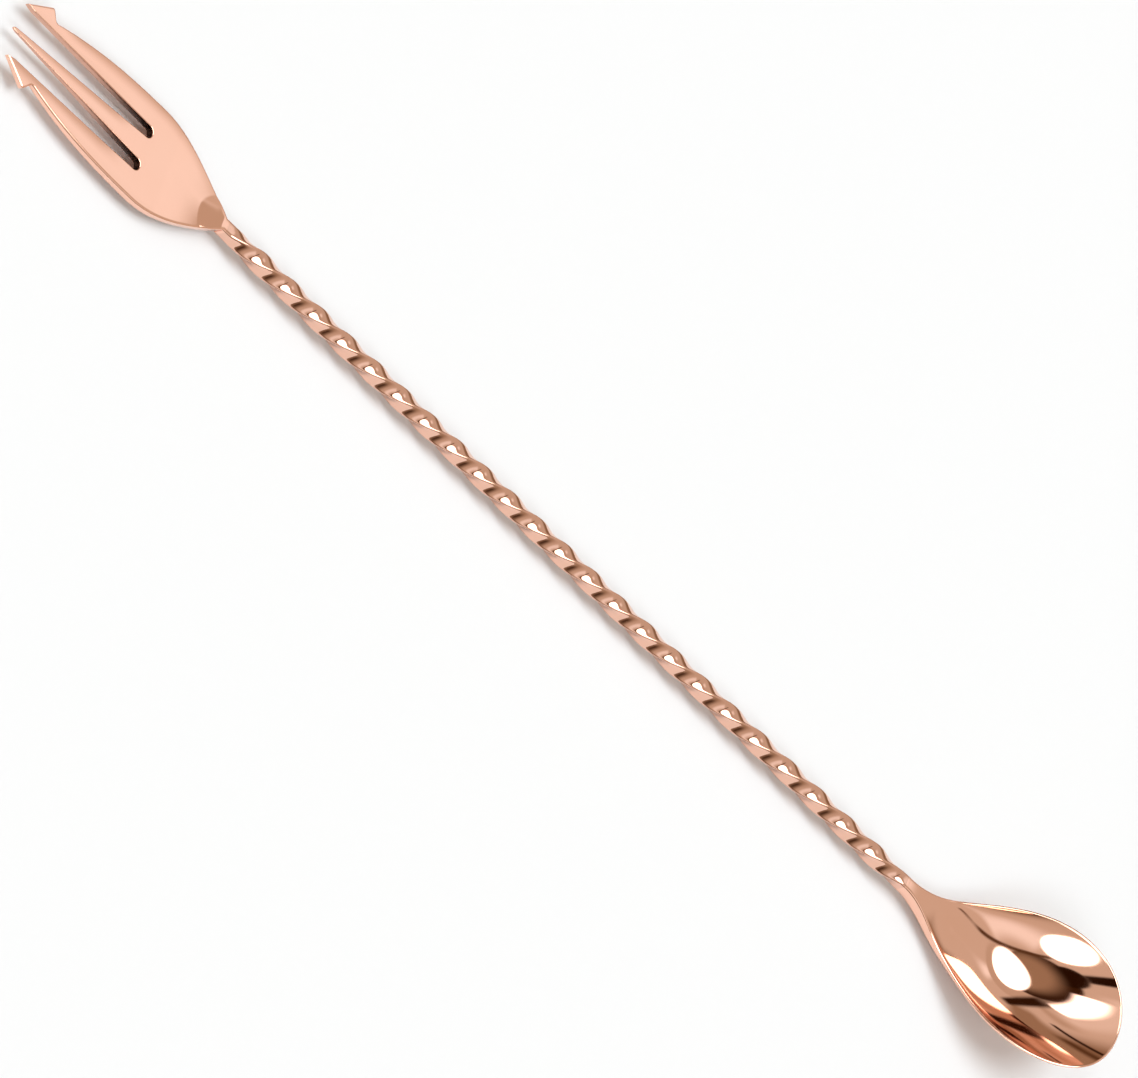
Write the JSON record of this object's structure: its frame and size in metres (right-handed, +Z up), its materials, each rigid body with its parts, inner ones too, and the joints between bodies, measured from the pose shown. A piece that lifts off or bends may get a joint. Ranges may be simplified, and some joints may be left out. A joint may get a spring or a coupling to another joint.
{
  "type": "bar spoon",
  "caption": "Long bar spoon with a teardrop bowl at one end, a twisted square stem and a flat trident fork with barbed outer tines at the other, in polished copper plate.",
  "frame": {"origin": "on the surface that the spoon lies on, under the middle of its bounding box", "axes": "+X along the stem from the fork to the bowl, +Z up out of the open bowl, +Y across the fork"},
  "size_m": [0.306, 0.0264, 0.0139],
  "materials": {
    "copper_plate": "mirror polished copper plate over steel"
  },
  "bodies": {
    "root": {"spoon_bowl": "copper_plate", "twisted_stem": "copper_plate", "trident_fork": "copper_plate", "bowl_weld": "copper_plate", "fork_weld": "copper_plate"}
  },
  "joints": []
}
